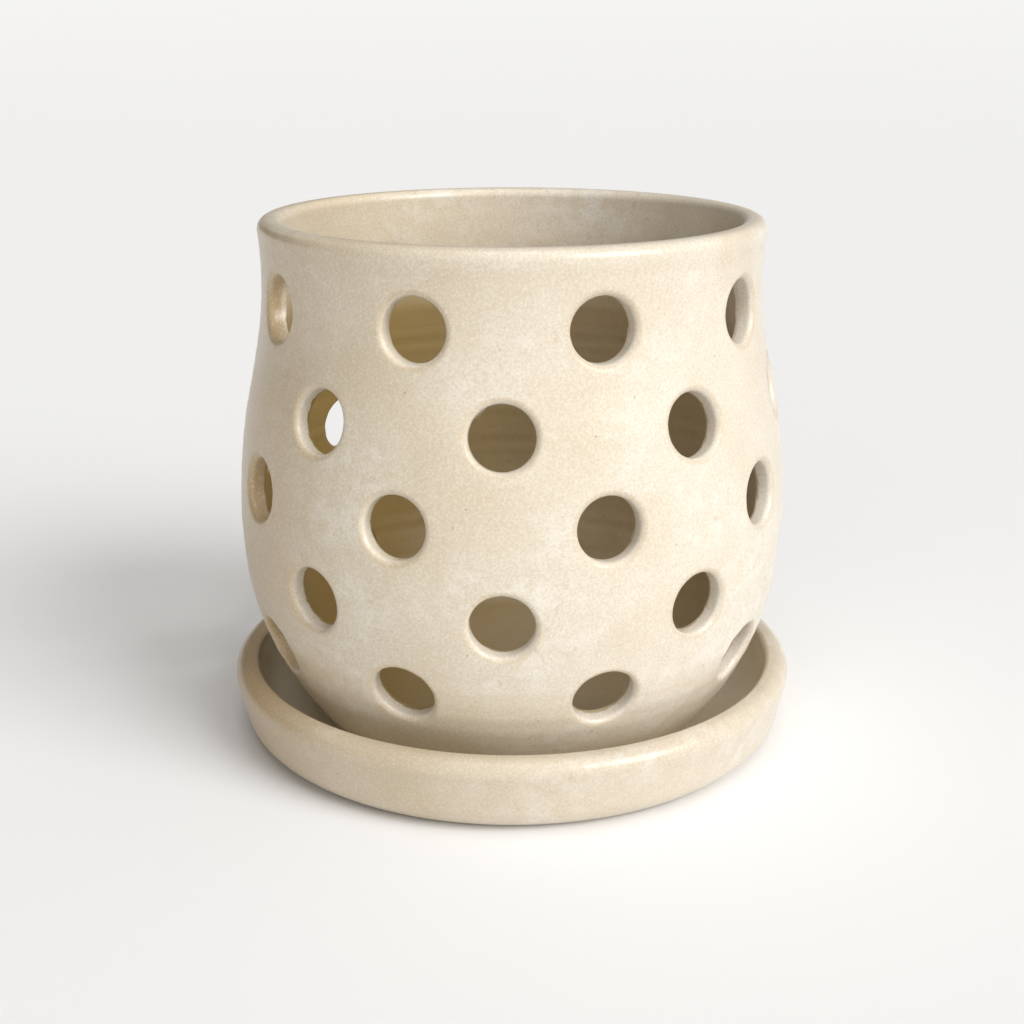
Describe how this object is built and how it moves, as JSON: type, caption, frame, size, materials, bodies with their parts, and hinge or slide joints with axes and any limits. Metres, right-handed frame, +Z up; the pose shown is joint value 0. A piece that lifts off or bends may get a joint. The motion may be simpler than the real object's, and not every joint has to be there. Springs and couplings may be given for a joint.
{
  "type": "orchid pot with saucer",
  "caption": "Round glazed ceramic orchid pot with a flared lip and staggered rings of round air holes, standing loose in a matching drip saucer.",
  "frame": {"origin": "middle of the saucer's underside, where it meets the table", "axes": "+Z up along the turning axis of both pieces, -Y towards the front of the picture"},
  "size_m": [0.1698, 0.1698, 0.1547],
  "materials": {
    "glaze": "satin cream glaze over a buff clay body"
  },
  "bodies": {
    "saucer": {"saucer": "glaze"},
    "pot": {"pot": "glaze"}
  },
  "joints": [
    {"name": "pot_lift", "type": "slide", "parent": "saucer", "child": "pot", "axis": [0, 0, 1], "range_m": [0, 0.2]}
  ]
}
